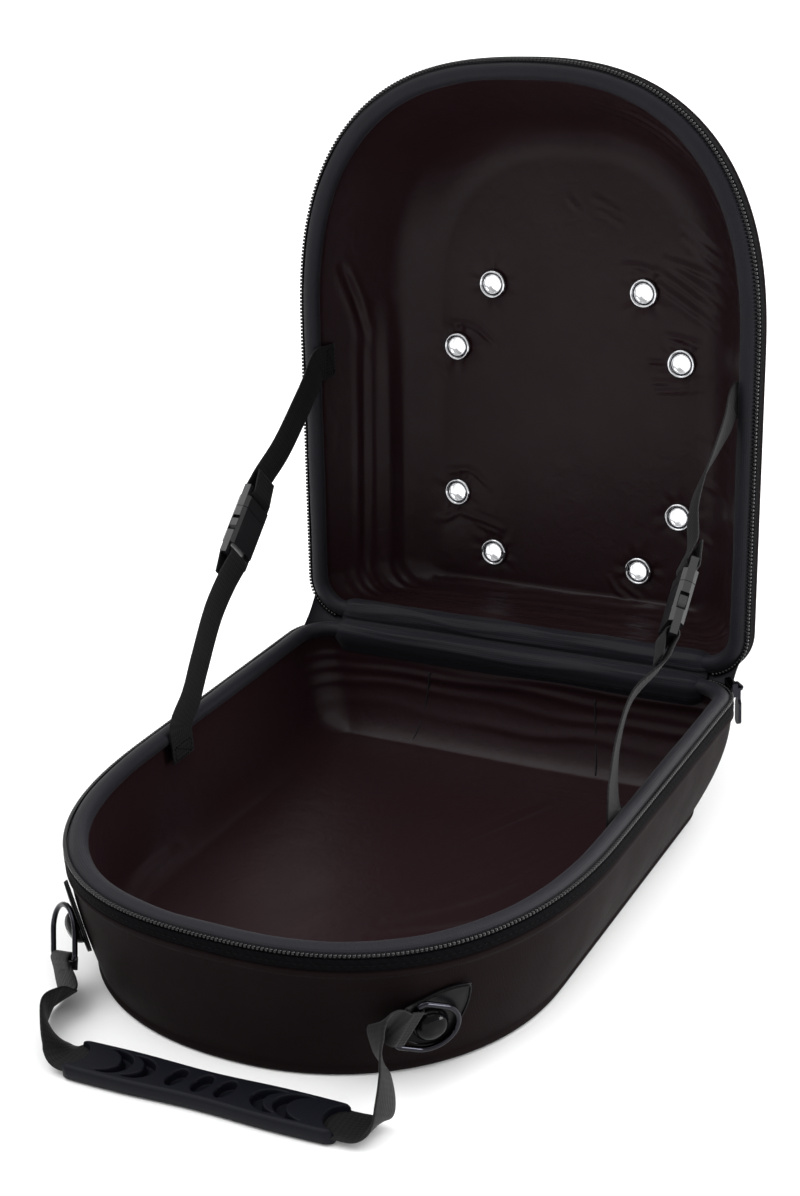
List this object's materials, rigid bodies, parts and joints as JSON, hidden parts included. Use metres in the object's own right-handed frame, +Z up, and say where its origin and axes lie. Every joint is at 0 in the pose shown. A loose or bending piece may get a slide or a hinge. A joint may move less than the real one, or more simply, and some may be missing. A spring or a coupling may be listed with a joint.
{
  "type": "baseball cap carrier case",
  "caption": "Open hard-shell carrier case with a domed lid, zip rim, strap stays with buckles and a front carrying handle.",
  "frame": {"origin": "middle of the tray's flat underside, on the surface it rests on", "axes": "+Z up, +X to the right seen from the round front, +Y from the round front to the cloth hinge; the lid stands open at the +Y end"},
  "size_m": [0.2794, 0.4724, 0.3974],
  "materials": {
    "eva_skin": "fine cloth laminated on moulded foam, matt",
    "satin_lining": "thin satin-weave lining bonded to foam",
    "padded_cloth": "plain weave cloth over a soft core",
    "webbing": "woven polyester webbing",
    "zip_chain": "moulded zip teeth",
    "buckle_plastic": "moulded acetal, fine grain",
    "dome_plastic": "polished cap",
    "grip_rubber": "moulded soft rubber, matt",
    "patch_leather": "smooth synthetic leather",
    "black_metal": "black plated, glossy",
    "eyelet_chrome": "nickel plated, polished"
  },
  "bodies": {
    "case": {"base_shell": "eva_skin", "lid_shell": "eva_skin", "base_lining": "satin_lining", "lid_lining": "satin_lining", "base_rim_band": "padded_cloth", "lid_rim_band": "padded_cloth", "hinge_strip": "padded_cloth", "base_zip_tape": "webbing", "lid_zip_tape": "webbing", "left_stay_lid_strap": "webbing", "left_stay_base_strap": "webbing", "right_stay_lid_strap": "webbing", "right_stay_base_strap": "webbing", "carry_strap_left": "webbing", "carry_strap_right": "webbing", "base_zip_chain": "zip_chain", "lid_zip_chain": "zip_chain", "left_stay_socket": "buckle_plastic", "left_stay_plug": "buckle_plastic", "right_stay_socket": "buckle_plastic", "right_stay_plug": "buckle_plastic", "left_dome": "dome_plastic", "right_dome": "dome_plastic", "carry_grip": "grip_rubber", "left_patch": "patch_leather", "right_patch": "patch_leather", "left_ring": "black_metal", "right_ring": "black_metal", "zip_slider": "black_metal", "eyelet_1": "eyelet_chrome", "eyelet_2": "eyelet_chrome", "eyelet_3": "eyelet_chrome", "eyelet_4": "eyelet_chrome", "eyelet_5": "eyelet_chrome", "eyelet_6": "eyelet_chrome", "eyelet_7": "eyelet_chrome", "eyelet_8": "eyelet_chrome"},
    "zip_pull": {"zip_pull": "black_metal"}
  },
  "joints": [
    {"name": "pull_swing", "type": "hinge", "parent": "case", "child": "zip_pull", "pos_m": [0.13587, 0.17087, 0.067], "axis": [0.7071, -0.7071, 0], "range_deg": [-8, 150]}
  ]
}
